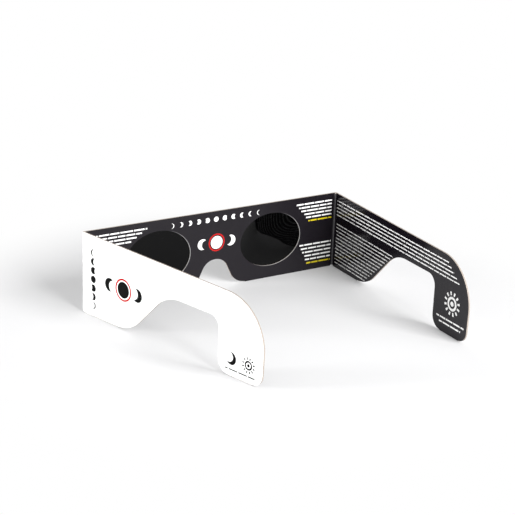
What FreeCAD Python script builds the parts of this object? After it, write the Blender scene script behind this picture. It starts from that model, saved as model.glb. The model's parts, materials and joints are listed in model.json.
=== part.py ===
import FreeCAD, Part
import math
import os
from FreeCAD import Placement, Rotation, Vector

# Folding card glasses for watching an eclipse. One die-cut sheet of card is folded in half along
# its bottom edges, so the front and both temples are two plies, glued together over two dark films.
# Millimetres. X runs across the front, to the wearer's right, Y forward, away from the face, and Z up.
# The origin is under the middle of the front's inner face, on the table that the glasses stand on.

# Card stock
PLY = 0.38              # one ply of card
ADHESIVE = 0.08         # coat between the plies, and the thickness of the films laid in it

# Front
FRONT_WIDTH = 149.0     # from one temple crease to the other
HEIGHT = 41.5           # from the table to the top edge of the front
EYE_SPACING = 67.3      # between the centres of the two apertures
EYE_RISE = 0.55         # the aperture centres, above the middle of the front's height
EYE_WIDTH = 37.2        # one elliptical aperture, across
EYE_HEIGHT = 28.9       # and from bottom to top
FILM_MARGIN = 2.6       # how far a film reaches past its aperture, all round
FILM_CORNER = 3.0       # radius of the film's corners
NOSE_HEIGHT = 15.5      # top of the nose notch
NOSE_TOP = 10.2         # width of the notch there, before rounding
NOSE_FOOT = 25.0        # width of the notch at the table, before rounding
NOSE_TOP_RADIUS = 7.9
NOSE_FOOT_RADIUS = 10.0

# Temples: a deep lobe at the crease, a narrow arm, and a hook that drops behind the ear
TEMPLE_LENGTH = 122.9   # from the crease to the hook's back edge, at the top
HOOK_BACK = 121.9       # the back edge's reach from the crease, at the table
BACK_DROP = 2.0         # how far the top edge falls on its way to the back edge, before rounding
HOOK_FRONT = 94.3       # the hook's front edge, from the crease
ARM_LEVEL = 26.0        # height of the arm's lower edge
LOBE_LENGTH = 34.6      # from the crease to the lobe's corner at the table
LOBE_TOP = 59.8         # from the crease to where the lobe's slope meets the arm
CROWN_RADIUS = 23.0     # the rounded top at the back
HEEL_RADIUS = 5.9       # the hook's back corner at the table
TOE_RADIUS = 6.3        # the hook's front corner at the table
CROOK_RADIUS = 5.7      # inside corner over the ear, between arm and hook
SLOPE_RADIUS = 21.2     # where the lobe's slope meets the arm
LOBE_RADIUS = 22.0      # the lobe's corner at the table

# Creases that the temples swing on, drawn as the glasses stand half open
LEFT_ANGLE = 76.6       # between the front and the left temple, on the wearer's side
RIGHT_ANGLE = 86.2      # the same on the right
CREASE_REACH = 1.0      # bending strip on each side of a crease's line
BEAD_RADIUS = 0.5       # bulge that the creasing rule raises on the inner ply

# The stack of plies, measured outwards from the inner face
THICKNESS = 2 * PLY + ADHESIVE
OUTER_PLY_START = PLY + ADHESIVE
FOLD_RADIUS = THICKNESS / 2     # the folded bottom edge is a half round as thick as the stack
CUT_LEVEL = FOLD_RADIUS         # die-cut edges end where the half round starts
EYE_LEVEL = HEIGHT / 2 + EYE_RISE


def rounded(corners):
    """Closed wire in the XZ plane through (x, z, radius) corners, with tangent arcs.

    Where two arcs would meet on one side, both give way in proportion.
    """
    places = [Vector(x, 0, z) for x, z, _ in corners]
    sides = [places[(index + 1) % len(places)] - place for index, place in enumerate(places)]
    half_angles = [(sides[index - 1] * -1).getAngle(side) / 2 for index, side in enumerate(sides)]
    wanted = [radius / math.tan(half) for (_, _, radius), half in zip(corners, half_angles)]
    wanted.append(wanted[0])
    shares = [min(1, side.Length / max(wanted[index] + wanted[index + 1], 1e-9))
              for index, side in enumerate(sides)]
    arcs = []
    for index, (corner, half) in enumerate(zip(places, half_angles)):
        run = wanted[index] * min(shares[index - 1], shares[index])
        to_last = (sides[index - 1] * -1).normalize()
        to_next = Vector(sides[index]).normalize()
        middle = (to_last + to_next).normalize() * (run / math.cos(half) - run * math.tan(half))
        arcs.append((corner + to_last * run, corner + middle, corner + to_next * run))
    edges = []
    for index, (start, middle, end) in enumerate(arcs):
        if start.distanceToPoint(end) > 1e-6:
            edges.append(Part.Arc(start, middle, end).toShape())
        next_start = arcs[(index + 1) % len(arcs)][0]
        if end.distanceToPoint(next_start) > 1e-6:
            edges.append(Part.makeLine(end, next_start))
    return Part.Wire(edges)


def sheet(outline, start, thickness, holes=()):
    """A flat sheet between two depths, cut to an outline in the XZ plane, with holes through it."""
    solid = Part.Face(outline).extrude(Vector(0, thickness, 0))
    for hole in holes:
        solid = solid.cut(Part.Face(hole).extrude(Vector(0, thickness, 0)))
    return solid.translated(Vector(0, start, 0))


def folded_edges(outline):
    """Half-round folds along the outline's straight stretches at the table."""
    folds = []
    for edge in outline.Edges:
        ends = [vertex.Point for vertex in edge.Vertexes]
        straight = isinstance(edge.Curve, (Part.Line, Part.LineSegment))
        at_table = all(abs(end.z - CUT_LEVEL) < 1e-6 for end in ends)
        if straight and at_table:
            left = min(end.x for end in ends)
            inner = Vector(left, 0, CUT_LEVEL)
            lowest = Vector(left, THICKNESS / 2, CUT_LEVEL - FOLD_RADIUS)
            outer = Vector(left, THICKNESS, CUT_LEVEL)
            section = Part.Wire([Part.Arc(inner, lowest, outer).toShape(), Part.makeLine(outer, inner)])
            folds.append(Part.Face(section).extrude(Vector(edge.Length, 0, 0)))
    return folds


def plies(outline, holes=(), films=()):
    """Outer card with the folds under it, inner card, and the adhesive coat round the films."""
    outer = sheet(outline, OUTER_PLY_START, PLY, holes)
    outer = outer.multiFuse(folded_edges(outline)).removeSplitter()
    inner = sheet(outline, 0, PLY, holes)
    adhesive = sheet(outline, PLY, ADHESIVE, films)
    return {"outer_card": outer, "inner_card": inner, "adhesive": adhesive}


def aperture(side):
    """Elliptical opening for one eye; side is -1 on the left and 1 on the right."""
    centre = Vector(side * EYE_SPACING / 2, 0, EYE_LEVEL)
    end = centre + Vector(EYE_WIDTH / 2, 0, 0)
    top = centre + Vector(0, 0, EYE_HEIGHT / 2)
    return Part.Wire([Part.Ellipse(end, top, centre).toShape()])


def film_outline(side):
    """Rounded rectangle that covers an aperture with a margin to be glued."""
    middle = side * EYE_SPACING / 2
    half_width = EYE_WIDTH / 2 + FILM_MARGIN
    half_height = EYE_HEIGHT / 2 + FILM_MARGIN
    corners = ((-1, -1), (1, -1), (1, 1), (-1, 1))
    return rounded([(middle + across * half_width, EYE_LEVEL + up * half_height, FILM_CORNER)
                    for across, up in corners])


def front_outline():
    """Die-cut outline of the front, from strip to strip, with the nose notch."""
    end = FRONT_WIDTH / 2 - CREASE_REACH
    return rounded([
        (-end, CUT_LEVEL, 0),
        (-end, HEIGHT, 0),
        (end, HEIGHT, 0),
        (end, CUT_LEVEL, 0),
        (NOSE_FOOT / 2, CUT_LEVEL, NOSE_FOOT_RADIUS),
        (NOSE_TOP / 2, NOSE_HEIGHT, NOSE_TOP_RADIUS),
        (-NOSE_TOP / 2, NOSE_HEIGHT, NOSE_TOP_RADIUS),
        (-NOSE_FOOT / 2, CUT_LEVEL, NOSE_FOOT_RADIUS),
    ])


def temple_outline():
    """Die-cut outline of a temple laid flat, with its crease's line on the Z axis."""
    return rounded([
        (CREASE_REACH, CUT_LEVEL, 0),
        (CREASE_REACH, HEIGHT, 0),
        (TEMPLE_LENGTH, HEIGHT - BACK_DROP, CROWN_RADIUS),
        (HOOK_BACK, CUT_LEVEL, HEEL_RADIUS),
        (HOOK_FRONT, CUT_LEVEL, TOE_RADIUS),
        (HOOK_FRONT, ARM_LEVEL, CROOK_RADIUS),
        (LOBE_TOP, ARM_LEVEL, SLOPE_RADIUS),
        (LOBE_LENGTH, CUT_LEVEL, LOBE_RADIUS),
    ])


def heading(angle):
    """Unit vector along a right-hand temple that stands at an angle to the front."""
    turn = math.radians(180 + angle)
    return Vector(math.cos(turn), math.sin(turn), 0)


def outward(angle):
    """Unit vector out of a right-hand temple's outer face."""
    return Vector(0, 0, 1).cross(heading(angle))


def arc_about_axis(radius, start, end, through):
    """Arc round the crease's line from one direction to another, through a third."""
    return Part.Arc(start * radius, through * radius, end * radius).toShape()


def crease(angle):
    """Bending strips of a right-hand crease, about the Z axis: the outer ply and the beaded inner one."""
    along_front, along_temple = Vector(-1, 0, 0), heading(angle)
    front_out, temple_out = Vector(0, 1, 0), outward(angle)
    outer_middle = (front_out + temple_out).normalize()
    bead_middle = (along_front + along_temple).normalize()
    strip_front, strip_temple = along_front * CREASE_REACH, along_temple * CREASE_REACH

    def upright(edges):
        face = Part.Face(Part.Wire(Part.sortEdges(edges)[0]))
        return face.extrude(Vector(0, 0, HEIGHT - CUT_LEVEL)).translated(Vector(0, 0, CUT_LEVEL))

    def wrapped(radius):
        """The strip's bent line at one depth: a straight, the arc and a straight."""
        return [
            Part.makeLine(strip_front + front_out * radius, front_out * radius),
            arc_about_axis(radius, front_out, temple_out, outer_middle),
            Part.makeLine(temple_out * radius, temple_out * radius + strip_temple),
        ]

    def end(direction, strip, start, stop):
        return Part.makeLine(strip + direction * start, strip + direction * stop)

    outer = upright(
        wrapped(THICKNESS)
        + [end(temple_out, strip_temple, THICKNESS, OUTER_PLY_START)]
        + wrapped(OUTER_PLY_START)
        + [end(front_out, strip_front, OUTER_PLY_START, THICKNESS)]
    )
    inner = upright(
        wrapped(OUTER_PLY_START)
        + [
            Part.makeLine(strip_temple + temple_out * OUTER_PLY_START, strip_temple),
            Part.makeLine(strip_temple, along_temple * BEAD_RADIUS),
            arc_about_axis(BEAD_RADIUS, along_temple, along_front, bead_middle),
            Part.makeLine(along_front * BEAD_RADIUS, strip_front),
            Part.makeLine(strip_front, strip_front + front_out * OUTER_PLY_START),
        ]
    )
    return {"crease_outer_card": outer, "crease_inner_card": inner}


def right_side(angle):
    """A temple at its crease on the right, with the crease's strips."""
    flat = plies(temple_outline())
    swing = Placement(Vector(FRONT_WIDTH / 2, 0, 0), Rotation(Vector(0, 0, 1), 180 + angle))
    pieces = {"temple_" + name: solid.transformed(swing.toMatrix(), True) for name, solid in flat.items()}
    for name, solid in crease(angle).items():
        pieces[name] = solid.translated(Vector(FRONT_WIDTH / 2, 0, 0))
    return pieces


def glasses():
    """Every piece by its name."""
    films = {"left": film_outline(-1), "right": film_outline(1)}
    front = plies(front_outline(), (aperture(-1), aperture(1)), tuple(films.values()))
    pieces = {"front_" + name: solid for name, solid in front.items()}
    for side, outline in films.items():
        pieces[side + "_eye_film"] = sheet(outline, PLY, ADHESIVE)
    for name, solid in right_side(RIGHT_ANGLE).items():
        pieces["right_" + name] = solid
    for name, solid in right_side(LEFT_ANGLE).items():
        pieces["left_" + name] = solid.mirror(Vector(0, 0, 0), Vector(1, 0, 0))
    return pieces


os.makedirs("parts", exist_ok=True)
for name, solid in glasses().items():
    solid.exportStep("parts/" + name + ".step")
    print(name, round(solid.Volume, 1), "cubic millimetres")
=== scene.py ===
import json
import math

import bpy
from bpy.props import FloatProperty, FloatVectorProperty, IntProperty, PointerProperty
from mathutils import Matrix, Vector


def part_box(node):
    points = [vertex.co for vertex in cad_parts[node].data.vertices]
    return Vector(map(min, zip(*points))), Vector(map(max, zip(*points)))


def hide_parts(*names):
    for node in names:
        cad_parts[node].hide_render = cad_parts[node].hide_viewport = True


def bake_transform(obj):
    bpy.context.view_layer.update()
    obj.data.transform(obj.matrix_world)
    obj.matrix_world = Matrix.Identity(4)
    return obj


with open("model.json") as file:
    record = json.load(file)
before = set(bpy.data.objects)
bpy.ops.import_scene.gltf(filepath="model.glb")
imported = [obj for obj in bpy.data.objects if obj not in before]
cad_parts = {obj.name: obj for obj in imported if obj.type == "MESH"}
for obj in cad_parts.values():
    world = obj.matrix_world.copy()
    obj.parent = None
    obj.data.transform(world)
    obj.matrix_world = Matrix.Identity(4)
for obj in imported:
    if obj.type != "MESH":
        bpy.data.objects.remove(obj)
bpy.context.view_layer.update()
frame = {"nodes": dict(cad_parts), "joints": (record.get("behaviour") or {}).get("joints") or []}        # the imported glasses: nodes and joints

bl_info = {
    "name": "Eclipse glasses",
    "version": (1, 0, 0),
    "blender": (4, 5, 0),
    "location": "View3D > Sidebar > Glasses",
    "description": "Printed card, dark films and bent creases of folding card glasses",
    "category": "Object",
}

# Metres in a millimetre; shader masks count in millimetres, meshes in metres.
MM = 0.001

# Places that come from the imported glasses.
HINGES = {joint["child"]: Vector(joint["pos_m"]) for joint in frame["joints"]}
CARD_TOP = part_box("front_outer_card")[1].z
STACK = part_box("front_outer_card")[1].y
INNER_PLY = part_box("front_inner_card")[1].y
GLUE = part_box("front_adhesive")[1].y - INNER_PLY
OUTER_START = INNER_PLY + GLUE
CUT_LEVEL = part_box("front_inner_card")[0].z
FILMS = {label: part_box(label + "_eye_film") for label in ("left", "right")}

# Millimetres of coat or ink that cover the board on a ply's face.
SKIN = 0.02

# Millimetres that a film reaches past its eye hole, all round.
FILM_MARGIN = 2.6

# How far each film bulges towards the wearer, which bends what it mirrors: millimetres for each
# power of the centimetres across and up from its middle.
BULGES = {
    "left": ((2, 0, 0.05), (0, 2, 0.05)),
    "right": (
        (1, 0, -0.65), (0, 1, -0.44), (2, 0, 0.19),
        (1, 1, -0.88), (0, 2, -0.2), (3, 0, -0.03),
        (2, 1, 0.36), (1, 2, -0.31), (0, 3, 0.36),
    ),
}

# Where each softbox stands, what it points at and how wide it is, in metres.
SOFTBOXES = {
    "front": ((0.3, -1.25, 0.68), (0, 0, 0), 0.9),
    "side": ((-0.95, 0.3, 0.13), (0, 0, 0.02), 0.24),
    "back": ((0.15, 1.1, 1.0), (0, 0, 0), 0.9),
}


class Value:
    """A number that varies over a surface. Sums, products and comparisons of these add Math nodes."""

    def __init__(self, finish, socket):
        self.finish = finish
        self.socket = socket

    def math(self, operation, *others):
        """The result of a Math node whose first term is this value."""
        return self.finish.math(operation, self, *others)

    def __add__(self, other):
        return self.math("ADD", other)

    def __radd__(self, other):
        return self.finish.math("ADD", other, self)

    def __sub__(self, other):
        return self.math("SUBTRACT", other)

    def __rsub__(self, other):
        return self.finish.math("SUBTRACT", other, self)

    def __mul__(self, other):
        return self.math("MULTIPLY", other)

    def __rmul__(self, other):
        return self.finish.math("MULTIPLY", other, self)

    def __truediv__(self, other):
        return self.math("DIVIDE", other)

    def __rtruediv__(self, other):
        return self.finish.math("DIVIDE", other, self)

    def __pow__(self, other):
        return self.math("POWER", other)

    def __abs__(self):
        return self.math("ABSOLUTE")

    def __lt__(self, other):
        return self.math("LESS_THAN", other)

    def __gt__(self, other):
        return self.math("GREATER_THAN", other)

    def __or__(self, other):
        return self.math("MAXIMUM", other)

    def __ror__(self, other):
        return self.math("MAXIMUM", other)


class Finish:
    """A material or a world under construction."""

    def __init__(self, owner):
        self.owner = owner
        owner.use_nodes = True
        self.tree = owner.node_tree
        self.tree.nodes.clear()

    def node(self, kind, settings=None, sockets=None):
        """Adds a node, makes its settings and then gives its sockets their values or links."""
        made = self.tree.nodes.new(kind)
        for name, setting in (settings or {}).items():
            setattr(made, name, setting)
        for name, value in (sockets or {}).items():
            if isinstance(value, Value):
                self.tree.links.new(value.socket, made.inputs[name])
            else:
                made.inputs[name].default_value = value
        return made

    def output(self, name, kind, settings=None, sockets=None):
        """Adds a node and returns one of its outputs as a value."""
        return Value(self, self.node(kind, settings, sockets).outputs[name])

    def math(self, operation, *terms):
        """The result of a Math node, whose terms are values or numbers."""
        return self.output(0, "ShaderNodeMath", {"operation": operation}, dict(enumerate(terms)))

    def blend(self, share, first, second):
        """The first colour, or the second where share is 1."""
        settings = {"data_type": "RGBA"}
        return self.output(2, "ShaderNodeMix", settings, {0: share, 6: first, 7: second})

    def noise(self, point, size, detail=2.0, roughness=0.5):
        """Cloudy noise from 0 to 1 whose blots are about size millimetres across."""
        sockets = {"Vector": point, "Scale": 1 / (size * MM), "Detail": detail, "Roughness": roughness}
        return self.output(0, "ShaderNodeTexNoise", {}, sockets)

    def surface(self, colour, roughness, height, relief, ior=1.5):
        """Ends the material in one shader, with a bump of relief millimetres for a height of 1."""
        bump = {"Height": height, "Strength": 1.0, "Distance": relief * MM}
        normal = self.output(0, "ShaderNodeBump", {}, bump)
        sockets = {"Base Color": colour, "Roughness": roughness, "IOR": ior, "Normal": normal}
        shader = self.output(0, "ShaderNodeBsdfPrincipled", {}, sockets)
        self.node("ShaderNodeOutputMaterial", {}, {"Surface": shader})
        return self.owner


class Panel:
    """Where a point of a flat panel of card lies, in millimetres.

    along is the distance from origin in the panel's long direction, depth the distance out of its
    inner face, and up the height over the table.
    """

    def __init__(self, finish, origin, along, out):
        self.finish = finish
        self.point = finish.output("Object", "ShaderNodeTexCoord")
        offset = finish.output(
            0, "ShaderNodeVectorMath", {"operation": "SUBTRACT"}, {0: self.point, 1: origin}
        )

        def measured(direction):
            settings = {"operation": "DOT_PRODUCT"}
            return finish.output(1, "ShaderNodeVectorMath", settings, {0: offset, 1: direction / MM})

        self.along = measured(Vector(along))
        self.depth = measured(Vector(out))
        self.up = measured(Vector((0, 0, 1)))

    def tilted(self, slope):
        """The height of a point over a line of print that climbs by slope."""
        return self.up - self.along * slope

    def disc(self, centre, radius):
        """1 inside a circle about a centre, given along and up."""
        across = self.along - centre[0]
        rise = self.up - centre[1]
        return (across * across + rise * rise) < radius ** 2


class CreaseSizes(bpy.types.PropertyGroup):
    """The strips of card that bend where a temple meets the front."""

    left_angle: FloatProperty(
        name="Left angle", description="Between the front and the left temple at rest",
        default=math.radians(76.6), subtype="ANGLE", unit="ROTATION",
    )
    right_angle: FloatProperty(
        name="Right angle", description="Between the front and the right temple at rest",
        default=math.radians(86.2), subtype="ANGLE", unit="ROTATION",
    )
    reach: FloatProperty(
        name="Reach", description="Width of the bending strip on each side of the crease's line",
        default=1.0 * MM, subtype="DISTANCE", unit="LENGTH",
    )
    groove: FloatProperty(
        name="Groove", description="How far the creasing rule presses the inner strip into the stack",
        default=0.07 * MM, subtype="DISTANCE", unit="LENGTH",
    )
    bead: FloatProperty(
        name="Bead", description="Radius of the bulge that the creasing rule raises inside",
        default=0.5 * MM, subtype="DISTANCE", unit="LENGTH",
    )
    bead_margin: FloatProperty(
        name="Bead margin", description="How far the bulge stops short of the card's edges",
        default=0.1 * MM, subtype="DISTANCE", unit="LENGTH",
    )
    bead_rounding: FloatProperty(
        name="Bead rounding", description="Rounding of the bulge's pressed ends",
        default=0.16 * MM, subtype="DISTANCE", unit="LENGTH",
    )
    strip_rounding: FloatProperty(
        name="Strip rounding", description="Rounding of the bending strip's cut edges",
        default=0.03 * MM, subtype="DISTANCE", unit="LENGTH",
    )
    segments: IntProperty(
        name="Segments", description="Facets round the bend", default=16, min=12,
    )
    flat_segments: IntProperty(
        name="Flat segments", description="Facets along each flat part of a strip", default=3, min=1,
    )


class CardColours(bpy.types.PropertyGroup):
    """Colours of the card and of its print."""

    coat: FloatVectorProperty(
        name="Coat", description="White clay coat of the outer faces",
        default=(0.92, 0.92, 0.915, 1), size=4, subtype="COLOR",
    )
    core: FloatVectorProperty(
        name="Core", description="Grey-brown board where the card is cut",
        default=(0.42, 0.365, 0.32, 1), size=4, subtype="COLOR",
    )
    glue: FloatVectorProperty(
        name="Glue", description="Dried glue line between the plies",
        default=(0.20, 0.16, 0.13, 1), size=4, subtype="COLOR",
    )
    ink: FloatVectorProperty(
        name="Ink", description="Black ink of the inner faces",
        default=(0.0055, 0.0040, 0.0065, 1), size=4, subtype="COLOR",
    )
    outside_ink: FloatVectorProperty(
        name="Outside ink", description="Dense black ink of the marks on the white faces",
        default=(0.0015, 0.0015, 0.0015, 1), size=4, subtype="COLOR",
    )
    worn: FloatVectorProperty(
        name="Worn ink", description="Ink rubbed thin along the raised bead and the rims",
        default=(0.115, 0.111, 0.119, 1), size=4, subtype="COLOR",
    )
    # Painted highlight: this pale colour stands in for light caught by the eye holes' cut edges.
    rim_highlight: FloatVectorProperty(
        name="Rim", description="Pale edge of the ink where the eye holes are cut",
        default=(0.36, 0.36, 0.36, 1), size=4, subtype="COLOR",
    )
    accent: FloatVectorProperty(
        name="Accent", description="Yellow ink of the rows that stand out",
        default=(0.62, 0.50, 0.01, 1), size=4, subtype="COLOR",
    )
    corona: FloatVectorProperty(
        name="Corona", description="Red ink of the ring round the darkened sun",
        default=(0.42, 0.004, 0.004, 1), size=4, subtype="COLOR",
    )
    paper: FloatVectorProperty(
        name="Knocked-out print", description="White print on the black faces",
        default=(0.88, 0.88, 0.87, 1), size=4, subtype="COLOR",
    )
    film: FloatVectorProperty(
        name="Film", description="Black of the filter films",
        default=(0.0003, 0.0003, 0.0004, 1), size=4, subtype="COLOR",
    )


class StageSettings(bpy.types.PropertyGroup):
    """Camera, floor and lamps."""

    camera_place: FloatVectorProperty(
        name="Camera place", description="Where the camera stands",
        default=(-374.13 * MM, -609.88 * MM, 269.78 * MM), size=3, subtype="XYZ", unit="LENGTH",
    )
    camera_aim: FloatVectorProperty(
        name="Camera aim", description="A point in the middle of the picture",
        default=(19.03 * MM, -10.65 * MM, 16.79 * MM), size=3, subtype="XYZ", unit="LENGTH",
    )
    camera_roll: FloatProperty(
        name="Camera roll", description="Turn of the camera about its own axis",
        default=math.radians(2.248), subtype="ANGLE", unit="ROTATION",
    )
    lens: FloatProperty(
        name="Lens", description="Focal length in millimetres on a sensor 36 wide", default=102.93,
    )
    floor_size: FloatProperty(
        name="Floor size", description="Side of the square floor",
        default=6.0, subtype="DISTANCE", unit="LENGTH",
    )
    ambient: FloatProperty(
        name="Ambient", description="Strength of the light that comes from all round", default=0.56,
    )
    front_power: FloatProperty(
        name="Front power", description="Watts of the softbox on the wearer's side", default=35.0,
    )
    side_power: FloatProperty(
        name="Side power", description="Watts of the softbox on the left", default=9.5,
    )
    back_power: FloatProperty(
        name="Back power", description="Watts of the softbox behind the front", default=4.0,
    )
    floor_dark: FloatVectorProperty(
        name="Floor, dark", description="Darker grain of the floor",
        default=(0.63, 0.63, 0.635, 1), size=4, subtype="COLOR",
    )
    floor_light: FloatVectorProperty(
        name="Floor, light", description="Lighter grain of the floor",
        default=(0.65, 0.65, 0.655, 1), size=4, subtype="COLOR",
    )
    floor_glow: FloatProperty(
        name="Floor glow", description="How far the floor is lifted to white where the camera sees it",
        default=0.1, min=0, max=1,
    )
    fade_middle: FloatVectorProperty(
        name="Fade middle", description="Where on the floor the object stands",
        default=(0, -35 * MM, 0), size=3, subtype="XYZ", unit="LENGTH",
    )
    fade_start: FloatProperty(
        name="Fade start", description="Distance from there at which the floor begins to turn white",
        default=0.105, subtype="DISTANCE", unit="LENGTH",
    )
    fade_end: FloatProperty(
        name="Fade end", description="Distance beyond which the floor is plain white",
        default=0.175, subtype="DISTANCE", unit="LENGTH",
    )


def scaled(colour, factor):
    """The colour made lighter or darker."""
    return [part * factor for part in colour[:3]] + [1]


def outwards(side, angle):
    """Unit vectors along a temple, away from its crease, and out of its outer face."""
    along = Vector((-side * math.cos(angle), -math.sin(angle), 0))
    out = Vector((side * math.sin(angle), -math.cos(angle), 0))
    return along, out


def both_sides(sizes):
    """The name, the sign of X and the crease's angle of each side."""
    return (("left", -1, sizes.left_angle), ("right", 1, sizes.right_angle))


def temple_on(side):
    """Name of the body at a crease; side is -1 on the left and 1 on the right."""
    return "right_temple" if side > 0 else "left_temple"


def start_piece(name, add, **settings):
    """Adds a primitive with nothing else selected, and names it."""
    bpy.ops.object.select_all(action="DESELECT")
    add(**settings)
    piece = bpy.context.object
    piece.name = name
    piece.data.name = name
    return piece


def apply_place():
    """Moves the selected object's place, turn and size into its mesh."""
    bpy.ops.object.transform_apply(location=True, rotation=True, scale=True)


def tidy_mesh():
    """In edit mode: merges doubles and turns every face outwards."""
    bpy.ops.mesh.select_all(action="SELECT")
    bpy.ops.mesh.remove_doubles(threshold=0.001 * MM)
    bpy.ops.mesh.normals_make_consistent(inside=False)


def soften_edges(piece, width, angle=math.radians(40)):
    """Rounds the sharp edges with an applied bevel and smooths the rest."""
    bevel = piece.modifiers.new("pressed_edges", "BEVEL")
    bevel.width = width
    bevel.segments = 2
    bevel.limit_method = "ANGLE"
    bevel.angle_limit = angle
    bpy.ops.object.modifier_apply(modifier=bevel.name)
    bpy.ops.object.shade_smooth_by_angle(angle=angle)


def bent_strip(name, side, angle, near, far, sizes):
    """One ply across a crease: straight, bent round the hinge's line, and straight again."""
    hinge = HINGES[temple_on(side)]
    temple, _ = outwards(side, angle)
    steps = sizes.flat_segments
    piece = start_piece(
        name, bpy.ops.mesh.primitive_plane_add, size=1,
        location=(hinge.x - side * sizes.reach, (near + far) / 2, (CUT_LEVEL + CARD_TOP) / 2),
        rotation=(math.pi / 2, 0, math.pi / 2),
    )
    piece.scale = (far - near, CARD_TOP - CUT_LEVEL, 1)
    apply_place()
    bpy.ops.object.mode_set(mode="EDIT")
    bpy.ops.mesh.select_all(action="SELECT")
    for _ in range(steps):
        step = (side * sizes.reach / steps, 0, 0)
        bpy.ops.mesh.extrude_region_move(TRANSFORM_OT_translate={"value": step})
    bpy.ops.mesh.spin(
        steps=sizes.segments, angle=side * (angle - math.pi), center=hinge, axis=(0, 0, -1),
    )
    for _ in range(steps):
        step = tuple(temple * (sizes.reach / steps))
        bpy.ops.mesh.extrude_region_move(TRANSFORM_OT_translate={"value": step})
    tidy_mesh()
    bpy.ops.object.mode_set(mode="OBJECT")
    soften_edges(piece, sizes.strip_rounding)
    return piece


def crease_bead(name, side, sizes):
    """The rounded ridge inside a crease, with pressed ends."""
    hinge = HINGES[temple_on(side)]
    foot = CUT_LEVEL + sizes.bead_margin
    top = CARD_TOP - sizes.bead_margin
    piece = start_piece(
        name, bpy.ops.mesh.primitive_cylinder_add, vertices=40, radius=sizes.bead,
        depth=top - foot, location=(hinge.x, hinge.y, (foot + top) / 2),
    )
    apply_place()
    soften_edges(piece, sizes.bead_rounding)
    return piece


def across_crease(piece):
    """Moves the piece's place, turn and size into its mesh."""
    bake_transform(piece)


def dash_rows(panel, top, pitch, height, count, left, right, slope=0.0, seed=0.0):
    """Rows of fine dashes of uneven lengths.

    top is the height of the first row's middle. left and right hold where the first row starts and
    ends, and how far each next row shifts there. seed shuffles the dashes.
    """
    dash, gap_width, row_shift = 6.0, 0.28, 31.7
    climb = panel.tilted(slope)
    row = ((top - climb) / pitch).math("ROUND")
    level = climb - top + row * pitch
    settings = {"voronoi_dimensions": "1D", "feature": "DISTANCE_TO_EDGE"}
    lengths = {"W": panel.along + row * row_shift + seed, "Scale": 1 / dash, "Randomness": 0.8}
    gap = panel.finish.output("Distance", "ShaderNodeTexVoronoi", settings, lengths) * dash < gap_width
    inside = (panel.along > row * left[1] + left[0]) * (panel.along < row * right[1] + right[0])
    inside = inside * (row > -0.5) * (row < count - 0.5) * (abs(level) < height / 2)
    return inside * (1 - gap)


def phase_row(panel, middle, step, reach, radius):
    """Moons in a row, full in the middle and waning towards both ends.

    step leads from one moon to the next, and reach is how many stand on each side of the full one.
    """
    across = panel.along - middle[0]
    rise = panel.up - middle[1]
    place = ((across * step[0] + rise * step[1]) / math.hypot(*step) ** 2).math("ROUND")
    across = across - place * step[0]
    rise = rise - place * step[1]
    moon = (across * across + rise * rise) < radius ** 2
    shift = (place + 0.1).math("SIGN") * (1 - abs(place) / (reach + 1)) * (2 * radius)
    beside = across - shift
    shade = (beside * beside + rise * rise) < radius ** 2
    return moon * (1 - shade) * (abs(place) < reach + 0.5)


def eclipse_row(panel, centre, radius):
    """A waning crescent, the ringed dark disc and a waxing crescent, side by side.

    Returns the mask of the crescents and the disc, and the mask of the ring.
    """
    across, rise = centre
    wing = radius * 0.6
    gap = 0.7
    reach = radius + gap + wing
    marks = panel.disc(centre, radius * 0.72)
    for side in (-1, 1):
        sun = (across + side * reach, rise)
        moon = (across + side * (reach - wing * 0.75), rise + side * wing * 0.15)
        marks = marks | panel.disc(sun, wing) * (1 - panel.disc(moon, wing * 0.9))
    ring = panel.disc(centre, radius) * (1 - panel.disc(centre, radius * 0.84))
    return marks, ring


def sun_mark(panel, centre, radius, rays=12):
    """A plain sun: a ring with a dot, and short rays round it."""
    across = panel.along - centre[0]
    rise = panel.up - centre[1]
    distance = (across * across + rise * rise) ** 0.5
    turn = across.math("ARCTAN2", rise) * (rays / math.tau)
    ray = abs(turn.math("FRACT") - 0.5) < 0.19
    beams = ray * (distance > radius * 0.70) * (distance < radius)
    ring = (distance < radius * 0.58) * (distance > radius * 0.38)
    return beams | ring | (distance < radius * 0.2)


def moon_mark(panel, centre, radius):
    """A plain crescent, open towards the crease."""
    bite = (centre[0] - radius * 0.45, centre[1] + radius * 0.2)
    return panel.disc(centre, radius) * (1 - panel.disc(bite, radius * 0.82))


def card_surface(panel, colour, skin, roughness, ior):
    """The card's shader: satin skin, fibrous cut edges, and the board's faint unevenness."""
    finish = panel.finish
    cut = 1 - skin
    fibre = finish.noise(panel.point, 0.25, 3)
    cloud = finish.noise(panel.point, 9.0, 2)
    uneven = roughness + cloud * 0.10 + cut * 0.4
    height = fibre * (0.35 + cut * 1.4) + cloud * 6
    return finish.surface(colour, uneven, height, relief=0.012, ior=ior)


def print_on(finish, colour, share, marks):
    """Lays inks over a colour. Each mark is a mask and the name of its ink."""
    colours = bpy.context.scene.glasses_colours
    for mask, ink in marks:
        colour = finish.blend(mask * share, colour, getattr(colours, ink))
    return colour


def board(finish, point):
    """Colour of the cut board, with specks."""
    core = bpy.context.scene.glasses_colours.core
    return finish.blend(finish.noise(point, 0.4, 2), core, scaled(core, 0.72))


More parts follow.
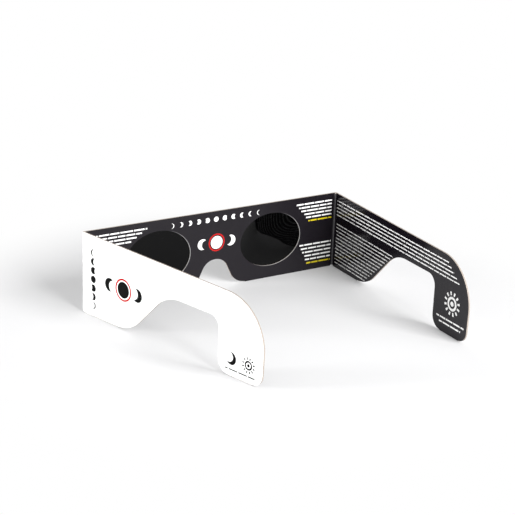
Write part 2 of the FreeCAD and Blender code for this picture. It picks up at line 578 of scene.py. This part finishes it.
def white_card(name, place, marks):
    """Material of an outer ply: white coat outside and on the fold, board at the cut edges.

    The fold is greyed half-way to the board's colour as a painted contact shade along the bottom edge, and
    the inner face's black reaches a little way round it.
    """
    colours = bpy.context.scene.glasses_colours
    finish = Finish(bpy.data.materials.new(name))
    panel = Panel(finish, *place)
    fold = panel.up < CUT_LEVEL / MM
    skin = (panel.depth > STACK / MM - SKIN) | fold
    coat = finish.blend(finish.noise(panel.point, 30, 1), colours.coat, scaled(colours.coat, 0.98))
    # Painted shade: the fold is greyed evenly towards the board's colour, for the contact shade under the
    # bottom edge.
    coat = finish.blend(fold * 0.5, coat, colours.core)
    colour = finish.blend(skin, board(finish, panel.point), coat)
    colour = print_on(finish, colour, skin * (1 - fold), marks(panel))
    wrapped = fold * (panel.depth < 0.25 + finish.noise(panel.point, 1.6, 2) * 0.1)
    colour = finish.blend(wrapped, colour, colours.ink)
    return card_surface(panel, colour, skin, roughness=0.4, ior=1.12)


def black_card(name, place, marks, roughness, rims=()):
    """Material of an inner ply: black print with knocked-out marks, board at the cut edges.

    rims holds the centre, half width and half height of each eye hole, whose edge gets a painted highlight.
    """
    colours = bpy.context.scene.glasses_colours
    finish = Finish(bpy.data.materials.new(name))
    panel = Panel(finish, *place)
    skin = panel.depth < SKIN
    mottle = finish.noise(panel.point, 0.8, 4, 0.7)
    ink = finish.blend(mottle, scaled(colours.ink, 0.7), scaled(colours.ink, 1.3))
    rub = finish.noise(panel.point, 1.6, 2)
    # Each rim gets a painted highlight along its right and lower part, where its cut edge would catch the
    # light.
    for centre, half_width, half_height in rims:
        across = (panel.along - centre[0]) / half_width
        rise = (panel.up - centre[1]) / half_height
        distance = ((across * across + rise * rise) ** 0.5 - 1) * ((half_width + half_height) / 2)
        width = rub * 0.14 + 0.12
        # Painted highlight mask: a pale ring, fixed on the right and lower side of each eye hole.
        rim_highlight = (distance < width) * (across - rise * 0.5 + 0.15)
        ink = finish.blend(rim_highlight, ink, colours.rim_highlight)
    ink = print_on(finish, ink, skin, marks(panel))
    colour = finish.blend(skin, board(finish, panel.point), ink)
    return card_surface(panel, colour, skin, roughness, ior=1.38)


def front_inside_marks(panel):
    """Print inside the front: dashes in three corners, a row of moons and a row of eclipse phases."""
    corner = dash_rows(
        panel, top=38.0, pitch=1.87, height=0.75, count=4, left=(-71.5, 0), right=(-40.0, -3.0),
    )
    upper = dash_rows(
        panel, top=37.7, pitch=1.91, height=0.78, count=5, left=(49.5, 1.6), right=(72.3, 0), seed=23.0,
    )
    upper_last = dash_rows(
        panel, top=28.1, pitch=1.91, height=0.78, count=1, left=(57.5, 0), right=(72.5, 0), seed=7.0,
    )
    lower = dash_rows(
        panel, top=14.6, pitch=2.1, height=0.8, count=5, left=(52.5, 1.0), right=(72.9, 0), seed=41.0,
    )
    lower_last = dash_rows(
        panel, top=4.1, pitch=2.1, height=0.8, count=1, left=(57.5, 0), right=(73.1, 0), seed=5.0,
    )
    moons = phase_row(panel, middle=(0, 37.2), step=(5.2, 0), reach=5, radius=1.35)
    phases, corona = eclipse_row(panel, centre=(0.6, 24.6), radius=4.8)
    white = corner | upper | lower | moons | phases
    return [(white, "paper"), (upper_last | lower_last, "accent"), (corona, "corona")]


def temple_inside_marks(panel):
    """Print inside a temple: dashes that follow the arm and the lobe, and a sun over two more rows."""
    arm = dash_rows(
        panel, top=37.7, pitch=1.95, height=0.6, count=5, left=(2.3, 0), right=(104.0, 2.4),
        slope=-0.015, seed=8.0,
    )
    lobe = dash_rows(
        panel, top=24.8, pitch=1.97, height=0.56, count=12, left=(2.7, 0), right=(57.0, -2.2),
        slope=-0.022, seed=9.0,
    )
    foot = dash_rows(
        panel, top=7.4, pitch=2.4, height=0.8, count=2, left=(97.5, 2.5), right=(119.8, -2.5), seed=2.0,
    )
    sun = sun_mark(panel, centre=(109.2, 16.6), radius=6.2)
    return [(arm | lobe | foot | sun, "paper")]


def temple_outside_marks(panel):
    """Print outside a temple: a column of moons, a row of eclipse phases, a moon and a sun."""
    moons = phase_row(panel, middle=(7.6, 19.3), step=(0, 4.5), reach=3, radius=1.85)
    phases, corona = eclipse_row(panel, centre=(29.6, 20.0), radius=5.7)
    foot = dash_rows(
        panel, top=3.4, pitch=2.0, height=0.6, count=1, left=(99.0, 0), right=(118.0, 0), seed=6.0,
    )
    moon = moon_mark(panel, centre=(102.6, 8.7), radius=3.1)
    sun = sun_mark(panel, centre=(113.4, 8.7), radius=3.9)
    return [(moons | phases | foot | moon | sun, "outside_ink"), (corona, "corona")]


def front_outside_marks(panel):
    """Print outside the front: one row of eclipse phases over the nose."""
    phases, corona = eclipse_row(panel, centre=(0, 27.0), radius=4.8)
    return [(phases, "outside_ink"), (corona, "corona")]


def dried_glue():
    """Material of the glue line that shows between the plies."""
    colour = bpy.context.scene.glasses_colours.glue
    finish = Finish(bpy.data.materials.new("dried_glue"))
    blots = finish.noise(finish.output("Object", "ShaderNodeTexCoord"), 0.6, 3)
    blotched = finish.blend(blots, colour, scaled(colour, 0.5))
    return finish.surface(blotched, 0.5 + blots * 0.3, blots, relief=0.02)


def film_material(name, centre, bulge):
    """Smooth black polymer film that bulges slightly towards the wearer, with a little dust."""
    colours = bpy.context.scene.glasses_colours
    finish = Finish(bpy.data.materials.new(name))
    panel = Panel(finish, centre, (1, 0, 0), (0, 1, 0))
    height = finish.noise(panel.point, 14.0, 1) * 0.03
    for across_power, up_power, share in bulge:
        height = height + (panel.along / 10) ** across_power * (panel.up / 10) ** up_power * share
    smear = finish.noise(panel.point, 5.0, 3)
    cells = {"Vector": panel.point, "Scale": 1 / (4.0 * MM)}
    speck = finish.output("Distance", "ShaderNodeTexVoronoi", {"feature": "F1"}, cells) < 0.03
    colour = finish.blend(speck * 0.3, colours.film, colours.worn)
    return finish.surface(colour, 0.04 + smear * 0.04, height, relief=1.0, ior=1.25)


def crease_material(name, base, rubbed, share, bare=SKIN):
    """Card across a crease: its print, rubbed by a share, with bare board over the top bare millimetres."""
    colours = bpy.context.scene.glasses_colours
    finish = Finish(bpy.data.materials.new(name))
    point = finish.output("Object", "ShaderNodeTexCoord")
    rub = finish.noise(point, 1.1, 3, 0.6)
    scuff = finish.noise(point, 5.0, 2)
    level = finish.output("Z", "ShaderNodeSeparateXYZ", {}, {0: point}) / MM
    worn = finish.blend((rub * 0.6 + scuff * 0.6) * share, base, rubbed)
    colour = finish.blend(level > CARD_TOP / MM - bare, worn, colours.core)
    return finish.surface(colour, 0.42 + rub * 0.2, rub, relief=0.02)


def dress(node, material):
    """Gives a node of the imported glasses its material."""
    slots = frame["nodes"][node].data.materials
    slots.clear()
    slots.append(material)


class GLASSES_OT_creases(bpy.types.Operator):
    """Model the bent strips and beads of both creases"""

    bl_idname = "glasses.creases"
    bl_label = "Creases"

    def execute(self, context):
        sizes = context.scene.glasses_creases
        colours = context.scene.glasses_colours
        for label, side, angle in both_sides(sizes):
            outer = bent_strip(label + "_crease_outside", side, angle, OUTER_START, STACK, sizes)
            grey_coat = scaled(colours.coat, 0.8)
            white = crease_material(label + "_crease_white", colours.coat, grey_coat, share=0.35)
            outer.data.materials.append(white)
            inner = bent_strip(label + "_crease_inside", side, angle, sizes.groove, OUTER_START, sizes)
            black = crease_material(label + "_crease_black", colours.ink, colours.worn, share=0.12)
            inner.data.materials.append(black)
            bead = crease_bead(label + "_crease_bead", side, sizes)
            grey = crease_material(label + "_bead_worn", colours.ink, colours.worn, share=1.0, bare=0.5)
            bead.data.materials.append(grey)
            for piece in (outer, inner, bead):
                across_crease(piece)
            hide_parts(label + "_crease_outer_card")
            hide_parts(label + "_crease_inner_card")
            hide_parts(label + "_crease_inner_card")
        return {"FINISHED"}


class GLASSES_OT_card(bpy.types.Operator):
    """Print and finish the card plies and the glue between them"""

    bl_idname = "glasses.card"
    bl_label = "Card"

    def execute(self, context):
        sizes = context.scene.glasses_creases
        front = (Vector(), (1, 0, 0), (0, 1, 0))
        rims = []
        for low, high in FILMS.values():
            middle = (low + high) / 2 / MM
            half = (high - low) / 2 / MM
            rims.append(((middle.x, middle.z), half.x - FILM_MARGIN, half.z - FILM_MARGIN))
        dress("front_outer_card", white_card("front_white", front, front_outside_marks))
        inner = black_card("front_black", front, front_inside_marks, roughness=0.27, rims=rims)
        dress("front_inner_card", inner)
        for label, side, angle in both_sides(sizes):
            place = (HINGES[label + "_temple"], *outwards(side, angle))
            outer = white_card(label + "_temple_white", place, temple_outside_marks)
            dress(label + "_temple_outer_card", outer)
            inner = black_card(label + "_temple_black", place, temple_inside_marks, roughness=0.11)
            dress(label + "_temple_inner_card", inner)
        glue = dried_glue()
        for node in ("front_adhesive", "left_temple_adhesive", "right_temple_adhesive"):
            dress(node, glue)
        return {"FINISHED"}


class GLASSES_OT_films(bpy.types.Operator):
    """Finish the two dark films"""

    bl_idname = "glasses.films"
    bl_label = "Films"

    def execute(self, context):
        for label, (low, high) in FILMS.items():
            film = film_material(label + "_black_film", (low + high) / 2, BULGES[label])
            dress(label + "_eye_film", film)
        return {"FINISHED"}


def seen_directly(finish):
    """1 where the camera sees a surface, itself or mirrored."""
    path = finish.node("ShaderNodeLightPath").outputs
    seen = Value(finish, path["Is Camera Ray"]) | Value(finish, path["Is Glossy Ray"])
    return seen | Value(finish, path["Is Transmission Ray"])


def floor_material(stage):
    """Pale floor that keeps the object's shadow and turns white further out."""
    finish = Finish(bpy.data.materials.new("pale_floor"))
    point = finish.output("Object", "ShaderNodeTexCoord")
    grain = finish.noise(point, 400, 1)
    colour = finish.blend(grain, stage.floor_dark, stage.floor_light)
    pale = finish.output(0, "ShaderNodeBsdfDiffuse", {}, {"Color": colour})
    white = finish.output(0, "ShaderNodeEmission", {}, {"Color": (1, 1, 1, 1), "Strength": 1.0})
    ends = {0: point, 1: stage.fade_middle}
    distance = finish.output("Value", "ShaderNodeVectorMath", {"operation": "DISTANCE"}, ends)
    fade = {
        "Value": distance, "From Min": stage.fade_start, "From Max": stage.fade_end,
        "To Min": stage.floor_glow, "To Max": 1.0,
    }
    lifted = finish.output(0, "ShaderNodeMapRange", {"interpolation_type": "SMOOTHSTEP"}, fade)
    share = seen_directly(finish) * lifted
    mixed = finish.output(0, "ShaderNodeMixShader", {}, {0: share, 1: pale, 2: white})
    finish.node("ShaderNodeOutputMaterial", {}, {"Surface": mixed})
    return finish.owner


def white_world(ambient):
    """A white background to look at, with a plainer light from it."""
    finish = Finish(bpy.data.worlds.new("white_room"))
    strength = seen_directly(finish) * (1 - ambient) + ambient
    background = finish.output(0, "ShaderNodeBackground", {}, {"Color": (1, 1, 1, 1), "Strength": strength})
    finish.node("ShaderNodeOutputWorld", {}, {"Surface": background})
    return finish.owner


def softbox(name, place, aim, size, power):
    """Hangs a square lamp that points at a spot."""
    lamp = bpy.data.lights.new(name, "AREA")
    lamp.shape = "SQUARE"
    lamp.size = size
    lamp.energy = power
    box = bpy.data.objects.new(name, lamp)
    bpy.context.scene.collection.objects.link(box)
    box.location = place
    box.rotation_euler = (Vector(aim) - Vector(place)).to_track_quat("-Z", "Y").to_euler()


class GLASSES_OT_stage(bpy.types.Operator):
    """Set up the floor, the lamps and the camera"""

    bl_idname = "glasses.stage"
    bl_label = "Stage"

    def execute(self, context):
        scene = context.scene
        stage = scene.glasses_stage
        floor = start_piece("floor", bpy.ops.mesh.primitive_plane_add, size=stage.floor_size)
        floor.data.materials.append(floor_material(stage))
        scene.world = white_world(stage.ambient)
        powers = {"front": stage.front_power, "side": stage.side_power, "back": stage.back_power}
        for name, (place, aim, size) in SOFTBOXES.items():
            softbox(name + "_softbox", place, aim, size, powers[name])
        camera = bpy.data.objects.new("camera", bpy.data.cameras.new("camera"))
        scene.collection.objects.link(camera)
        camera.data.sensor_width = 36
        camera.data.lens = stage.lens
        camera.location = stage.camera_place
        look = Vector(stage.camera_aim) - Vector(stage.camera_place)
        level = look.to_track_quat("-Z", "Y").to_matrix()
        rolled = level @ Matrix.Rotation(stage.camera_roll, 3, "Z")
        camera.rotation_euler = rolled.to_euler()
        scene.camera = camera
        scene.view_settings.view_transform = "Standard"
        return {"FINISHED"}


class GLASSES_PT_panel(bpy.types.Panel):
    """Lists the steps in the sidebar"""

    bl_label = "Eclipse glasses"
    bl_idname = "GLASSES_PT_panel"
    bl_space_type = "VIEW_3D"
    bl_region_type = "UI"
    bl_category = "Glasses"

    def draw(self, context):
        for step in OPERATORS:
            self.layout.operator(step.bl_idname)


GROUPS = {
    "glasses_creases": CreaseSizes,
    "glasses_colours": CardColours,
    "glasses_stage": StageSettings,
}
OPERATORS = (GLASSES_OT_stage, GLASSES_OT_creases, GLASSES_OT_card, GLASSES_OT_films)


def register():
    for group in GROUPS.values():
        bpy.utils.register_class(group)
    for step in (*OPERATORS, GLASSES_PT_panel):
        bpy.utils.register_class(step)
    for name, group in GROUPS.items():
        setattr(bpy.types.Scene, name, PointerProperty(type=group))


def unregister():
    for name in GROUPS:
        delattr(bpy.types.Scene, name)
    for step in (GLASSES_PT_panel, *reversed(OPERATORS)):
        bpy.utils.unregister_class(step)
    for group in reversed(GROUPS.values()):
        bpy.utils.unregister_class(group)


def main():
    register()
    bpy.ops.glasses.stage()
    bpy.ops.glasses.creases()
    bpy.ops.glasses.card()
    bpy.ops.glasses.films()


if __name__ == "__main__":
    main()
